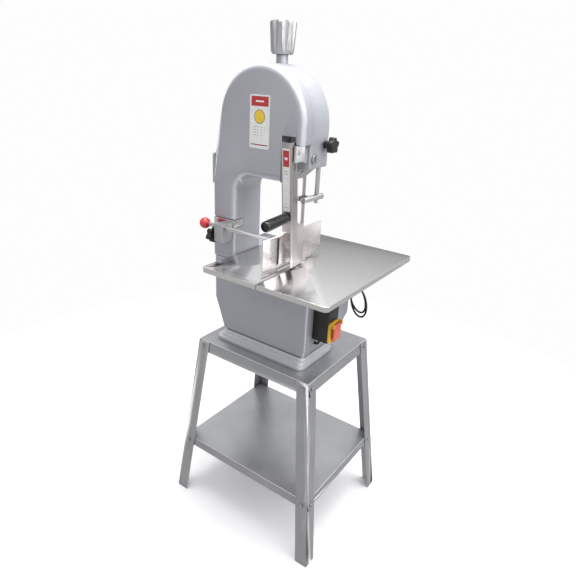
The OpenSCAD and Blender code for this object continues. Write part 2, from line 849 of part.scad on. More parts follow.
module gauge_clamp_block() {
    color(zinc) difference() {
        block([clamp_x0, rod_y - 11, top_z + 46], [clamp_x1, front_y - 2, rod_z + 9]);
        rod_along_x(rod_r + run, rod_y, rod_z, clamp_x0 - 1, clamp_x1 + 1);
        rod_along_x(3.5 + run, rod_y, rod_z - clamp_drop, clamp_x0 - 1, clamp_x0 + 15);
    }
}

module gauge_rod() {
    color(steel) rod_along_x(rod_r, rod_y, rod_z, ball_x + rod_end + run, gauge_x - gauge_t - 2 * run);
}

// Upright plate with two feet, a slot and a socket for the rod
module gauge_plate() {
    y1 = gauge_y + gauge_len;
    color(steel) {
        difference() {
            block([gauge_x - gauge_t, gauge_y, gauge_z], [gauge_x, y1, gauge_z + gauge_h]);
            translate([0, gauge_y + 63, 0]) {
                block([0, -5, gauge_z + 18], [far, 5, gauge_z + gauge_h - 10]);
                rod_along_x(5, 0, gauge_z + 18, 0, far);
                rod_along_x(5, 0, gauge_z + gauge_h - 10, 0, far);
            }
        }
        for (y = [gauge_y + 40, y1 - 60])
            block([gauge_x - 22, y, gauge_z - 4.5], [gauge_x, y + 24, gauge_z]);
        difference() {
            rod_along_x(11, rod_y, rod_z, gauge_x - gauge_t - 16, gauge_x - gauge_t);
            rod_along_x(rod_r + run, rod_y, rod_z, gauge_x - gauge_t - 17, gauge_x - gauge_t - run);
        }
    }
}

module gauge_clamp_knob() {
    color(black) translate([clamp_x0 - gap, rod_y, rod_z - clamp_drop]) rotate([0, -90, 0])
        star_knob(21, 15, 7, 9, 3.5, 12);
}

module gauge_ball() {
    color([0.8, 0.1, 0.12]) translate([ball_x, rod_y, rod_z]) rotate([0, 90, 0])
        rotate_extrude() difference() {
            circle(ball_r);
            translate([-far, -far / 2]) square(far);
            translate([-1, rod_end]) square([rod_r + run + 1, far]);
        }
}

// ---------- pusher arm ----------

// Places the arm's own frame, with its origin on the pin's axis, at its resting tilt
module at_pivot() {
    translate([0, pivot_y, pivot_z]) rotate([arm_tilt, 0, 0]) children();
}

// Angle arm: label face to the front, side face by the gauge, broad foot beside the blade
module pusher_arm() {
    foot = -arm_r + 112;
    color(steel) at_pivot() difference() {
        union() {
            block([arm_x - arm_w - arm_t, arm_front, -198], [arm_x, arm_front + arm_t, arm_top]);
            along_x(arm_x - arm_t, arm_x) intersection() {
                union() {
                    translate([arm_front, -arm_r]) square([30, arm_r + arm_top]);
                    translate([arm_front, -arm_r]) square([57, arm_r + foot]);
                    difference() {
                        translate([8, foot - 1]) square([15, 15]);
                        translate([23, foot + 14]) circle(15);
                    }
                }
                union() {
                    circle(arm_r, $fn = 180);
                    translate([-far / 2, -100]) square(far);
                }
            }
        }
        rod_along_x(pin_r + run, 0, 0, 0, far);
    }
}

handle_r = 14;
handle_z = -158;

module pusher_handle() {
    color(black) at_pivot()
        rod_along_y(handle_r, arm_x - 13.5, handle_z, arm_front - 90, arm_front);
}

// Pin with a flat head, fixed in the bracket
module pusher_pin() {
    color(zinc) {
        rod_along_x(pin_r, pivot_y, pivot_z, arm_x - arm_t - 4, arm_x + 9);
        rod_along_x(pin_r + 4, pivot_y, pivot_z, arm_x - arm_t - 4, arm_x - arm_t - gap);
    }
}

module pusher_bracket() {
    color(steel) difference() {
        union() {
            block([arm_x + 1.5, pivot_y - 11, pivot_z - 20], [arm_x + 9.5, part_y - 4, pivot_z + 18]);
            block([arm_x + 1.5, part_y - 7, pivot_z - 24], [right_x - 8, part_y - 4, pivot_z + 18]);
        }
        rod_along_x(pin_r + run, pivot_y, pivot_z, 0, far);
    }
}

module arm_label() {
    color("white") at_pivot() block([arm_x - arm_w + 1, arm_front - 0.3, -142],
        [arm_x - 3, arm_front, 14]);
}

// ---------- table ----------

// Sheet steel table with a folded rim and a slot that lets the blade in from the front
module work_table() {
    x1 = table_x + table_w;
    y1 = table_y + table_d;
    color(steel) difference() {
        translate([0, 0, table_z - rim_h]) linear_extrude(rim_h)
            round_rect([table_x, table_y], [x1, y1], table_r);
        translate([0, 0, table_z - rim_h - 1]) linear_extrude(rim_h - table_t + 1)
            round_rect([table_x + 2, table_y + 2], [x1 - 2, y1 - 2], table_r - 2);
        block([table_x - 1, front_y - 12, table_z - rim_h - 1], [table_x + 3, 130, table_z - table_t]);
        block([blade_x - 2, table_y - 1, table_z - rim_h - 1], [blade_x + 2, -44, table_z + 1]);
    }
}

// Studs under the table, with their nuts inside the casting
module table_nuts() {
    color(zinc) for (p = stud_at) translate([p[0], p[1], top_z]) {
        translate([0, 0, -18]) cylinder(h = 18, r = 4);
        translate([0, 0, -wall - 6.5]) cylinder(h = 6.5, r = 7, $fn = 6);
    }
}

// ---------- switch and cable ----------

module switch_box() {
    color(black) difference() {
        along_x(box_x, box_x + box_d) round_rect([box_y0, box_z0], [box_y1, box_z1], 8);
        block([box_x + 10, box_y0 + 10, box_z0 + 8], [box_x + box_d + 1, box_y1 - 10, frame_top - 6]);
    }
}

button_z = [box_z0 + 18, box_z0 + 38];
button_y = (box_y0 + box_y1) / 2;
button_r = 7.5;
frame_x = box_x + box_d;
flap_x = frame_x + 13;              // hinge axis of the red cover
flap_z = box_z0 + 56;
flap_w = 36;
frame_top = box_z0 + 62;

// Yellow surround with a well for the two buttons
module switch_frame() {
    color([0.93, 0.7, 0.1]) difference() {
        along_x(frame_x, frame_x + 6) round_rect([box_y0 + 3, box_z0 + 3], [box_y1 - 3, frame_top], 6);
        for (z = button_z) rod_along_x(button_r + 0.1, button_y, z, frame_x - 1, frame_x + 7);
    }
    color([0.93, 0.7, 0.1]) for (y = [button_y - flap_w / 2 - 6, button_y + flap_w / 2 + gap])
        difference() {
            block([frame_x + 5, y, flap_z - 5], [frame_x + 18, y + 5.7, flap_z + 6]);
            rod_along_y(3 + run, flap_x, flap_z, y - 1, y + 7);
        }
}

// Red cover, hinged along its top edge
module stop_flap() {
    color([0.8, 0.08, 0.08]) {
        along_x(flap_x - 0.5, flap_x + 3.5)
            round_rect([button_y - flap_w / 2, box_z0 + 10], [button_y + flap_w / 2, flap_z + 2], 2);
        rod_along_y(3, flap_x, flap_z, button_y - flap_w / 2 - 5, button_y + flap_w / 2 + 5);
    }
}

module push_button(z) {
    rod_along_x(button_r, button_y, z, frame_x - 7, frame_x + 10);
}

module start_button() { color([0.1, 0.55, 0.2]) push_button(button_z[0]); }

module stop_button() { color([0.75, 0.08, 0.08]) push_button(button_z[1]); }

cable_r = 3.5;
turn_r = 10;                        // radius of a quarter bend in a lead
lead_x = box_x + 20;
lead_y = box_y1 - 14;
lead_z = box_z1 + 42;               // the lead runs level here, under the table
coil_x = box_x + 42;                // middle of the hanging coil
coil_y = 98;
coil_z = deck + 143;
coil_w = 58;
coil_h = 104;
coil_pitch = 8;
coil_end = 900;                     // the coil's last angle, two and a quarter loops in
plug_x = box_x - 90;
plug_y = coil_y + 42;
plug_z = deck + 30;
plug_h = 49;

// A point of the hanging coil, an oval helix along Y
function coil_point(a) = [coil_x + coil_w / 2 * cos(a), coil_y + coil_pitch * a / 360,
    coil_z + coil_h / 2 * sin(a)];

// The mains lead's line: up from the box, along under the table, round the coil, then behind
// the housing to the plug
lead_line = concat(
    [[lead_x, lead_y, box_z1 + 5], [lead_x, lead_y, lead_z - turn_r],
        [lead_x, lead_y + turn_r, lead_z], [lead_x, coil_y - 30, lead_z],
        [lead_x + turn_r, coil_y - 10, lead_z - turn_r]],
    [for (a = [90 : 20 : coil_end]) coil_point(a)],
    [[coil_x - coil_w / 2 - 6, coil_y + 35, coil_z + 8], [plug_x + 14, plug_y, coil_z + 2],
        [plug_x, plug_y, coil_z - turn_r], [plug_x, plug_y, plug_z + plug_h - 2]]);

// Mains lead with the gland that holds it in the box's top
module power_cable() {
    color(black) {
        translate([lead_x, lead_y, box_z1]) cylinder(h = 10, r = 8, $fn = 24);
        for (i = [1 : len(lead_line) - 1]) hull() {
            translate(lead_line[i - 1]) sphere(cable_r, $fn = 8);
            translate(lead_line[i]) sphere(cable_r, $fn = 8);
        }
    }
}

// Short lead from the box's underside through the casting's side to the motor
module motor_lead() {
    x = box_x + 14;
    color(black) {
        translate([x, motor_lead_y, motor_lead_z + turn_r])
            cylinder(h = box_z0 - motor_lead_z - turn_r, r = cable_r);
        translate([x - turn_r, motor_lead_y, motor_lead_z + turn_r]) rotate([90, 0, 0]) rotate(-90)
            rotate_extrude(angle = 90) translate([turn_r, 0]) circle(cable_r);
        rod_along_x(cable_r, motor_lead_y, motor_lead_z, box_x - 8, x - turn_r);
    }
}

// Two-pin plug hanging from the lead
module mains_plug() {
    color(black) translate([plug_x, plug_y, plug_z]) {
        rotate_extrude() polygon([[0, 0], [17, 0], [17, 34], [14, 34], [6, plug_h],
            [cable_r + run, plug_h], [cable_r + run, plug_h - 8], [0, plug_h - 8]]);
        for (x = [-9, 9]) translate([x, 0, -18]) cylinder(h = 19, r = 2.4);
    }
}

placed() stand_top();
placed() leg_front_left();
placed() leg_front_right();
placed() leg_rear_left();
placed() leg_rear_right();
placed() lower_shelf();
placed() stand_bolts();
placed() stand_nuts();
placed() base_plinth();
placed() base_casting();
placed() lower_door();
placed() lower_hinge_pin();
placed() motor();
placed() motor_bolts();
placed() motor_shaft();
placed() lower_wheel();
placed() lower_wheel_nut();
placed() dust_tray();
placed() blade_scrapers();
placed() head_casting();
placed() upper_door();
placed() upper_hinge_pin();
placed() door_label();
placed() column_base_cover();
placed() door_lock();
placed() upper_wheel();
placed() upper_bearings();
placed() upper_shaft();
placed() upper_wheel_nut();
placed() tension_carriage();
placed() carriage_rails();
placed() tension_screw();
placed() tension_knob();
placed() saw_blade();
placed() guide_post();
placed() guide_bar();
placed() guide_pads();
placed() guide_bush();
placed() post_knob();
placed() gauge_mount_bar();
placed() gauge_clamp_block();
placed() gauge_rod();
placed() gauge_plate();
placed() gauge_clamp_knob();
placed() gauge_ball();
placed() pusher_arm();
placed() pusher_handle();
placed() pusher_pin();
placed() pusher_bracket();
placed() arm_label();
placed() work_table();
placed() table_nuts();
placed() switch_box();
placed() switch_frame();
placed() stop_flap();
placed() start_button();
placed() stop_button();
placed() power_cable();
placed() motor_lead();
placed() mains_plug();
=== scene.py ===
import json
import math

import bmesh
import bpy
from mathutils import Matrix, Vector

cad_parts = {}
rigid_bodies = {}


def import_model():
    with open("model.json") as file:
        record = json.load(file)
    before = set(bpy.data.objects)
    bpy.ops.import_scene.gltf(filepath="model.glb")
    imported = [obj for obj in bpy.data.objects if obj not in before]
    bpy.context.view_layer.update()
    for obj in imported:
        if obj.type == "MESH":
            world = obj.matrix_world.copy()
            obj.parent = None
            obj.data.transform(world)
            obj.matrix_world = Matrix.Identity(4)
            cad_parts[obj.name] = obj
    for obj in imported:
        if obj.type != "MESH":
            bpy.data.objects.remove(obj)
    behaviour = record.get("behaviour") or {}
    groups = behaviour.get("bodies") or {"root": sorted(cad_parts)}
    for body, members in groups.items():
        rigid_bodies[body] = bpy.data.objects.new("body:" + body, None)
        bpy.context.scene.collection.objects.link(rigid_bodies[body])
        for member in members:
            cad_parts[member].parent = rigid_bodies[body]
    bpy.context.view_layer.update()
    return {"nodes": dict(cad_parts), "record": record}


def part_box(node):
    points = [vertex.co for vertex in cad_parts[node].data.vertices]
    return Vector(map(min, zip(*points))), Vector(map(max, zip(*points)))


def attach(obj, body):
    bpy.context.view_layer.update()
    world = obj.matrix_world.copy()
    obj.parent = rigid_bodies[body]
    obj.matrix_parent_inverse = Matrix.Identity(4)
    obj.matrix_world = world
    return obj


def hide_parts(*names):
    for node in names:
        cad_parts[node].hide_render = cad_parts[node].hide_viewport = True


for leftover in list(bpy.data.objects):
    bpy.data.objects.remove(leftover)
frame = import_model()

MM = 0.001
BODY_OF = {n: b for b, names in frame["record"]["behaviour"]["bodies"].items() for n in names}
SLOT_OF = {s["node"]: s["material_slot"] for s in frame["record"]["subparts"]}


# ---------- materials ----------

class Shade:
    """One material's node tree, with short calls for the nodes that it is made of."""

    def __init__(self, name, metallic=0.0, roughness=0.5, **more):
        self.material = bpy.data.materials.new(name)
        self.material.use_nodes = True
        self.tree = self.material.node_tree
        self.surface = self.tree.nodes["Principled BSDF"]
        self.surface.inputs["Metallic"].default_value = metallic
        self.surface.inputs["Roughness"].default_value = roughness
        for key, value in more.items():
            self.surface.inputs[key.replace("_", " ")].default_value = value
        self.place = self.add("ShaderNodeTexCoord").outputs["Object"]
        self.last_bump = None

    def add(self, kind):
        return self.tree.nodes.new(kind)

    def feed(self, socket, value):
        """Links a socket or sets a plain value; a three-part colour gets its alpha."""
        if isinstance(value, bpy.types.NodeSocket):
            self.tree.links.new(value, socket)
        elif isinstance(value, tuple) and len(value) == 3 and socket.type == "RGBA":
            socket.default_value = (*value, 1.0)
        else:
            socket.default_value = value

    def scaled(self, stretch):
        node = self.add("ShaderNodeMapping")
        self.feed(node.inputs["Vector"], self.place)
        node.inputs["Scale"].default_value = stretch
        return node.outputs["Vector"]

    def noise(self, scale, detail=2.0, stretch=(1, 1, 1), rough=0.5):
        """Noise of the given scale per metre, drawn out along an axis by a small stretch."""
        node = self.add("ShaderNodeTexNoise")
        self.feed(node.inputs["Vector"], self.scaled(stretch))
        node.inputs["Scale"].default_value = scale
        node.inputs["Detail"].default_value = detail
        node.inputs["Roughness"].default_value = rough
        return node.outputs["Fac"]

    def span(self, value, low, high, to_low=0.0, to_high=1.0):
        """Maps low..high on to to_low..to_high, clamped."""
        node = self.add("ShaderNodeMapRange")
        self.feed(node.inputs["Value"], value)
        node.inputs["From Min"].default_value = low
        node.inputs["From Max"].default_value = high
        node.inputs["To Min"].default_value = to_low
        node.inputs["To Max"].default_value = to_high
        return node.outputs["Result"]

    def math(self, operation, a, b=0.0):
        node = self.add("ShaderNodeMath")
        node.operation = operation
        self.feed(node.inputs[0], a)
        self.feed(node.inputs[1], b)
        return node.outputs["Value"]

    def mix(self, share, a, b):
        node = self.add("ShaderNodeMix")
        node.data_type = "RGBA"
        self.feed(node.inputs["Factor"], share)
        self.feed(node.inputs["A"], a)
        self.feed(node.inputs["B"], b)
        return node.outputs["Result"]

    def axis(self, name):
        node = self.add("ShaderNodeSeparateXYZ")
        self.feed(node.inputs["Vector"], self.place)
        return node.outputs[name]

    def colour(self, value):
        self.feed(self.surface.inputs["Base Color"], value)

    def rough(self, value):
        self.feed(self.surface.inputs["Roughness"], value)

    def bump(self, height, depth_mm):
        """Adds relief of the given depth to whatever relief the material already has."""
        node = self.add("ShaderNodeBump")
        node.inputs["Strength"].default_value = 1.0
        node.inputs["Distance"].default_value = depth_mm * MM
        self.feed(node.inputs["Height"], height)
        if self.last_bump is not None:
            self.feed(node.inputs["Normal"], self.last_bump)
        self.last_bump = node.outputs["Normal"]
        self.feed(self.surface.inputs["Normal"], self.last_bump)

    def rounding(self, folded=False):
        """0 on flat faces, 1 on the soft edges between them. A casting's flat faces look along Y or
        square to it, as its curved sides do too; a folded sheet's look along one of the axes."""
        node = self.add("ShaderNodeSeparateXYZ")
        self.feed(node.inputs["Vector"], self.add("ShaderNodeTexCoord").outputs["Normal"])
        facing = self.math("ABSOLUTE", node.outputs["Y"])
        if folded:
            rest = self.math("MAXIMUM", self.math("ABSOLUTE", node.outputs["X"]),
                             self.math("ABSOLUTE", node.outputs["Z"]))
        else:
            squared = self.math("MULTIPLY", facing, facing)
            rest = self.math("SQRT", self.math("SUBTRACT", 1.0, squared))
        flat = self.math("MAXIMUM", facing, rest)
        return self.span(flat, 0.72, 0.97, 1.0, 0.0)

    def share(self, axis_name, low, high):
        """Runs from 0 to 1 between two places on an axis."""
        return self.span(self.axis(axis_name), low, high)

    def within(self, value, low, high):
        """1 where the value lies between low and high, else 0."""
        above = self.math("GREATER_THAN", value, low)
        return self.math("MULTIPLY", above, self.math("LESS_THAN", value, high))

    def corner_shade(self, reach_mm):
        """0 in the open, 1 in corners: the mask for the shade painted into corners."""
        node = self.add("ShaderNodeAmbientOcclusion")
        node.samples = 6
        node.inputs["Distance"].default_value = reach_mm * MM
        return self.span(node.outputs["AO"], 0.35, 0.95, 1.0, 0.0)


def painted(name, dark, light, metallic=0.35, roughness=0.4):
    """Silver-grey stove enamel on a casting: fine orange peel, metal flake, a painted highlight on the
    rounded edges and painted shade in the corners."""
    s = Shade(name, metallic=metallic)
    cloud = s.span(s.noise(7, 3), 0.35, 0.65)
    flake = s.span(s.noise(1600, 1), 0.5, 0.72)
    body = s.mix(cloud, dark, light)
    flaked = s.mix(s.math("MULTIPLY", flake, 0.25), body, tuple(min(1.0, c * 1.8) for c in light))
    # painted highlight: the rounded edges are lightened where the light catches them
    edge_highlight = tuple(min(1.0, c * 2.0) for c in light)
    highlighted = s.mix(s.math("MULTIPLY", s.rounding(), 0.8), flaked, edge_highlight)
    # painted shade darkens the corners
    s.colour(s.mix(s.math("MULTIPLY", s.corner_shade(9), 0.35), highlighted, tuple(c * 0.55 for c in dark)))
    s.rough(s.span(s.noise(45, 3), 0.3, 0.7, roughness - 0.05, roughness + 0.09))
    s.bump(s.noise(420, 2), 0.05)
    s.bump(s.noise(24, 2), 0.25)
    return s.material


def brushed(name, tone, roughness, along=(1, 1, 1), grain=0.5, smudge=0.5, darker_above=None):
    """Sheet steel: fine grain drawn out along one axis, broad smudges and a few hairline scratches.
    darker_above is the height from which its colour turns darker."""
    s = Shade(name, metallic=1.0)
    lines = s.noise(900, 3, along, 0.6)
    broad = s.noise(6, 3)
    hair = s.span(s.noise(260, 1, along), 0.66, 0.72)
    dull = tuple(c * 0.84 for c in tone)
    body = s.mix(s.math("MULTIPLY", s.span(lines, 0.3, 0.7), grain), tone, dull)
    smudged = s.mix(s.math("MULTIPLY", s.span(broad, 0.45, 0.7), smudge * 0.35), body, dull)
    scratched = s.mix(s.math("MULTIPLY", hair, 0.35), smudged, tuple(min(1.0, c * 1.15) for c in tone))
    if darker_above is not None:
        # from darker_above up the colour turns darker
        darkening = s.share("Z", darker_above, darker_above + 40 * MM)
        scratched = s.mix(s.math("MULTIPLY", darkening, 0.85), scratched, tuple(c * 0.5 for c in tone))
    # painted shade darkens the corners
    s.colour(s.mix(s.math("MULTIPLY", s.corner_shade(14), 0.5), scratched, tuple(c * 0.3 for c in tone)))
    streaks = s.span(lines, 0.25, 0.75, roughness - 0.05, roughness + 0.07)
    s.rough(s.math("ADD", streaks, s.span(broad, 0.4, 0.75, 0.0, 0.10 * smudge)))
    s.bump(lines, 0.012)
    return s.material


def machined(name, tone, roughness=0.3):
    """Turned or ground metal with a fine even grain."""
    s = Shade(name, metallic=1.0)
    grain = s.noise(1400, 2)
    body = s.mix(s.span(grain, 0.3, 0.7), tone, tuple(c * 0.86 for c in tone))
    # painted shade darkens the corners
    s.colour(s.mix(s.math("MULTIPLY", s.corner_shade(5), 0.6), body, tuple(c * 0.25 for c in tone)))
    s.rough(s.span(s.noise(70, 3), 0.3, 0.7, roughness - 0.06, roughness + 0.08))
    s.bump(grain, 0.01)
    return s.material


def moulded(name, colour, roughness=0.4, texture=0.06, coat=0.0):
    """Moulded plastic: a fine spark-eroded texture, faint flow marks and painted shade in the corners.
    """
    s = Shade(name, roughness=roughness, Coat_Weight=coat)
    flow = s.span(s.noise(30, 2), 0.4, 0.65)
    lighter = tuple(min(1.0, c * 1.25 + 0.006) for c in colour)
    body = s.mix(flow, colour, lighter)
    s.colour(s.mix(s.math("MULTIPLY", s.corner_shade(4), 0.3), body, tuple(c * 0.5 + 0.004 for c in colour)))
    s.rough(s.span(s.noise(160, 3), 0.3, 0.7, roughness - 0.06, roughness + 0.08))
    s.bump(s.noise(1500, 1), texture)
    return s.material


def rubber(name):
    """Cable sheath: dull black with fine lengthwise dust."""
    s = Shade(name, roughness=0.5)
    s.colour(s.mix(s.span(s.noise(120, 3), 0.45, 0.75), (0.012, 0.012, 0.013), (0.035, 0.035, 0.036)))
    s.rough(s.span(s.noise(400, 2), 0.3, 0.7, 0.42, 0.6))
    s.bump(s.noise(900, 2), 0.03)
    return s.material


def cast_iron(name):
    s = Shade(name, metallic=0.7)
    skin = s.noise(500, 4, rough=0.7)
    s.colour(s.mix(s.span(skin, 0.3, 0.7), (0.16, 0.16, 0.165), (0.26, 0.26, 0.27)))
    s.rough(s.span(skin, 0.3, 0.7, 0.42, 0.62))
    s.bump(skin, 0.12)
    return s.material


def hammered_zinc(name, tone, roughness):
    """Satin galvanised sheet: soft clouds, fine grain, painted highlights on the folded edges and
    painted shade in the corners.
    """
    s = Shade(name, metallic=0.75)
    cloud = s.span(s.noise(9, 3), 0.3, 0.7)
    grain = s.noise(700, 2, (0.1, 1, 1))
    body = s.mix(cloud, tone, tuple(c * 0.86 for c in tone))
    bright = tuple(c * 1.12 for c in tone)
    grained = s.mix(s.math("MULTIPLY", s.span(grain, 0.35, 0.7), 0.3), body, bright)
    # painted highlight: the folded edges are lightened almost to white
    edge_lit = s.mix(s.rounding(True), grained, (0.97, 0.97, 0.97))
    # painted shade darkens the corners
    s.colour(s.mix(s.math("MULTIPLY", s.corner_shade(16), 0.6), edge_lit, tuple(c * 0.25 for c in tone)))
    s.rough(s.span(s.noise(40, 3), 0.3, 0.7, roughness - 0.05, roughness + 0.08))
    s.bump(grain, 0.015)
    return s.material


def print_disc(s, under, across, up, size, height):
    """A plain yellow disc with a dark rim, its centre at a share of the film's height."""
    width, tall = size
    side = s.math("MULTIPLY", s.math("SUBTRACT", across, 0.5), width)
    rise = s.math("MULTIPLY", s.math("SUBTRACT", up, height), tall)
    reach = s.math("SQRT", s.math("ADD", s.math("POWER", s.math("ABSOLUTE", side), 2.0),
                                  s.math("POWER", s.math("ABSOLUTE", rise), 2.0)))
    rimmed = s.mix(s.math("LESS_THAN", reach, width * 0.27), under, (0.12, 0.09, 0.02))
    return s.mix(s.math("LESS_THAN", reach, width * 0.245), rimmed, (0.80, 0.55, 0.04))


def printed(name, node, header_share, disc=None, rows=(), foot=None):
    """Generic printed film with no lettering: white ground, red header with a pale bar, and, where
    wanted, a plain yellow disc, rows of grey dashes and a dark red foot line. All heights are
    shares of the film's own height."""
    low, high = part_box(node)
    s = Shade(name, roughness=0.28, Coat_Weight=0.3)
    across = s.share("X", low.x, high.x)
    up = s.share("Z", low.z, high.z)
    fade = s.span(s.noise(60, 3), 0.3, 0.7)
    ground = s.mix(fade, (0.80, 0.80, 0.79), (0.74, 0.74, 0.735))
    red = s.mix(fade, (0.50, 0.028, 0.035), (0.44, 0.022, 0.03))
    inside = s.within(across, 0.07, 0.93)
    header_low, header_high = header_share
    header = s.math("MULTIPLY", inside, s.within(up, header_low, header_high))
    print_colour = s.mix(header, ground, red)
    bar_low = header_low + (header_high - header_low) * 0.42
    bar_high = header_low + (header_high - header_low) * 0.58
    bar = s.math("MULTIPLY", s.within(across, 0.3, 0.7), s.within(up, bar_low, bar_high))
    print_colour = s.mix(bar, print_colour, (0.85, 0.82, 0.80))
    for row in rows:
        dashes = s.math("GREATER_THAN", s.noise(420, 0, (1, 1, 0.01)), 0.47)
        band = s.math("MULTIPLY", s.within(across, 0.2, 0.8), s.within(up, row, row + 0.013))
        print_colour = s.mix(s.math("MULTIPLY", band, dashes), print_colour, (0.30, 0.30, 0.31))
    if disc is not None:
        size = (high.x - low.x, high.z - low.z)
        print_colour = print_disc(s, print_colour, across, up, size, disc)
    if foot is not None:
        line = s.math("MULTIPLY", inside, s.within(up, foot, foot + 0.022))
        print_colour = s.mix(line, print_colour, (0.28, 0.02, 0.025))
    s.colour(print_colour)
    s.rough(s.span(s.noise(200, 2), 0.3, 0.7, 0.22, 0.34))
    s.bump(s.noise(90, 2), 0.02)
    return s.material


STEEL = (0.74, 0.735, 0.73)
MATERIALS = {
    "stand_steel": hammered_zinc("stand_steel", (0.44, 0.445, 0.46), 0.34),
    "fastener": machined("fastener", (0.52, 0.53, 0.54), 0.34),
    "cast_paint": painted("cast_paint", (0.385, 0.395, 0.43), (0.415, 0.425, 0.46)),
    "motor_paint": painted("motor_paint", (0.035, 0.04, 0.05), (0.05, 0.055, 0.065), 0.1, 0.45),
    "ground_steel": machined("ground_steel", (0.62, 0.62, 0.63), 0.22),
    "wheel_alloy": machined("wheel_alloy", (0.66, 0.67, 0.68), 0.32),
    "stainless": brushed("stainless", STEEL, 0.16, (1, 0.04, 1), 0.4, 0.5),
    "blade_steel": brushed("blade_steel", (0.58, 0.58, 0.59), 0.25, (1, 1, 0.04), 0.6, 0.5),
    "hard_pads": machined("hard_pads", (0.34, 0.34, 0.35), 0.35),
    "nylon": moulded("nylon", (0.78, 0.77, 0.72), 0.45),
    "cast_iron": cast_iron("cast_iron"),
    "polished_alloy": machined("polished_alloy", (0.55, 0.55, 0.56), 0.5),
    "red_plastic": moulded("red_plastic", (0.62, 0.035, 0.04), 0.22, 0.01, 0.5),
    "switch_red": moulded("switch_red", (0.66, 0.10, 0.05), 0.3, 0.03, 0.3),
    "switch_green": moulded("switch_green", (0.02, 0.22, 0.06), 0.3, 0.03, 0.3),
    "black_plastic": moulded("black_plastic", (0.008, 0.008, 0.009), 0.45, 0.05),
    "cable_rubber": rubber("cable_rubber"),
    "yellow_plastic": moulded("yellow_plastic", (0.75, 0.45, 0.03), 0.35, 0.04),
}
WARM = (0.86, 0.81, 0.795)
# the pusher arm's colour turns darker from this height up
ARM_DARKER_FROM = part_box("work_table")[1].z + 105 * MM
WARM_STEEL = brushed("warm_steel", WARM, 0.26, (1, 0.04, 1), 0.4, 0.5)
ARM_STEEL = brushed("arm_steel", WARM, 0.28, (1, 1, 0.04), 0.4, 0.5, ARM_DARKER_FROM)
SATIN_STEEL = brushed("satin_steel", (0.88, 0.88, 0.88), 0.5, (1, 1, 0.04), 0.3, 0.3)
GLOSS_BLACK = moulded("gloss_black", (0.003, 0.003, 0.0035), 0.16, 0.01, 0.3)
DOOR_PRINT = printed("door_print", "door_label", (0.79, 0.97), 0.60, (0.40, 0.35, 0.30, 0.25), 0.06)
ARM_PRINT = printed("arm_print", "arm_label", (0.72, 0.97), None, (0.64, 0.60, 0.06), None)


# ---------- pieces ----------

def add_piece(name, mesh, node, material=None):
    """A new object that stands for a CAD node, rides on its body and takes its finish."""
    piece = bpy.data.objects.new(name, mesh)
    bpy.context.scene.collection.objects.link(piece)
    piece.data.materials.clear()
    piece.data.materials.append(material or MATERIALS[SLOT_OF[node]])
    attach(piece, BODY_OF[node])
    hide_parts(node)
    return piece


SHARP = math.radians(30)            # faces that meet at more than this form an edge
WELD = 0.004 * MM
LEVEL = math.radians(0.4)           # neighbouring faces closer in angle than this become one


def add_bevel(piece, width, segments, weighted):
    """Rounds the sharp edges, all alike or by their weights; weighted ones are not held back."""
    bevel = piece.modifiers.new("edges", "BEVEL")
    bevel.width = width
    bevel.segments = segments
    bevel.limit_method = "WEIGHT" if weighted else "ANGLE"
    bevel.angle_limit = SHARP
    bevel.use_clamp_overlap = not weighted
    bevel.harden_normals = True
    bevel.miter_outer = "MITER_ARC"


def refined(node, width_mm, segments=2, edge_width=None):
    """A clean copy of a CAD node with its edges rounded. edge_width(a, b), where given, returns
    the rounding of the sharp edge between the points a and b, in millimetres; width_mm is then
    the widest."""
    work = bmesh.new()
    work.from_mesh(frame["nodes"][node].data)
    bmesh.ops.remove_doubles(work, verts=work.verts, dist=WELD)
    bmesh.ops.dissolve_limit(work, angle_limit=LEVEL, verts=work.verts, edges=work.edges)
    if edge_width is not None:
        weights = work.edges.layers.float.new("bevel_weight_edge")
        for edge in work.edges:
            if len(edge.link_faces) == 2 and edge.calc_face_angle(0) > SHARP:
                edge[weights] = edge_width(edge.verts[0].co, edge.verts[1].co) / width_mm
    for face in work.faces:
        face.smooth = True
    mesh = bpy.data.meshes.new(node + "_shape")
    work.to_mesh(mesh)
    work.free()
    piece = add_piece(node + "_shape", mesh, node)
    add_bevel(piece, width_mm * MM, segments, edge_width is not None)


# ---------- castings and doors ----------

DOOR_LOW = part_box("upper_door")[0]
FRONT = DOOR_LOW.y
HEAD_LOW, HEAD_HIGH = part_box("head_casting")
BLADE_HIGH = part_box("saw_blade")[1]
BASE_LOW, BASE_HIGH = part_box("base_casting")
COVER_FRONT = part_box("column_base_cover")[0].y
COVER_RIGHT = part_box("column_base_cover")[1].x
NOTCH_LEFT = BLADE_HIGH.x - 37 * MM     # left side of the upper door's notch beside the blade
FLAT = 0.3 * MM                     # a point this close to a plane lies in it


def both_on(a, b, axis, value):
    return abs(a[axis] - value) < FLAT and abs(b[axis] - value) < FLAT


def in_throat(middle):
    """Is a place on the outline of the throat, where the castings are rounded most?"""
    throat_left = COVER_RIGHT - 8 * MM
    below_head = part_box("arm_label")[1].z
    return throat_left < middle.x < NOTCH_LEFT and middle.z < below_head


PARTING = sum(corner.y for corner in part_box("upper_hinge_pin")) / 2     # where door and head meet
# millimetres
DOOR_WALL = 5.0
EASED_EDGE = 0.8                    # every sharp edge of a casting that is not named below
THROAT_ROUND = 20.0
OUTER_ROUND = 18.0
INSIDE_LESS = 12.0                  # the door's inner outline is rounded this much less
HINGE_ROUND = 3.0
NOTCH_ROUND = 2.0
RIM_EDGE = 0.15
CASTING_ROUND = 9.0
LOWER_DOOR_ROUND = 8.0
COVER_ROUND = 12.0
COVER_INSIDE_ROUND = 7.0


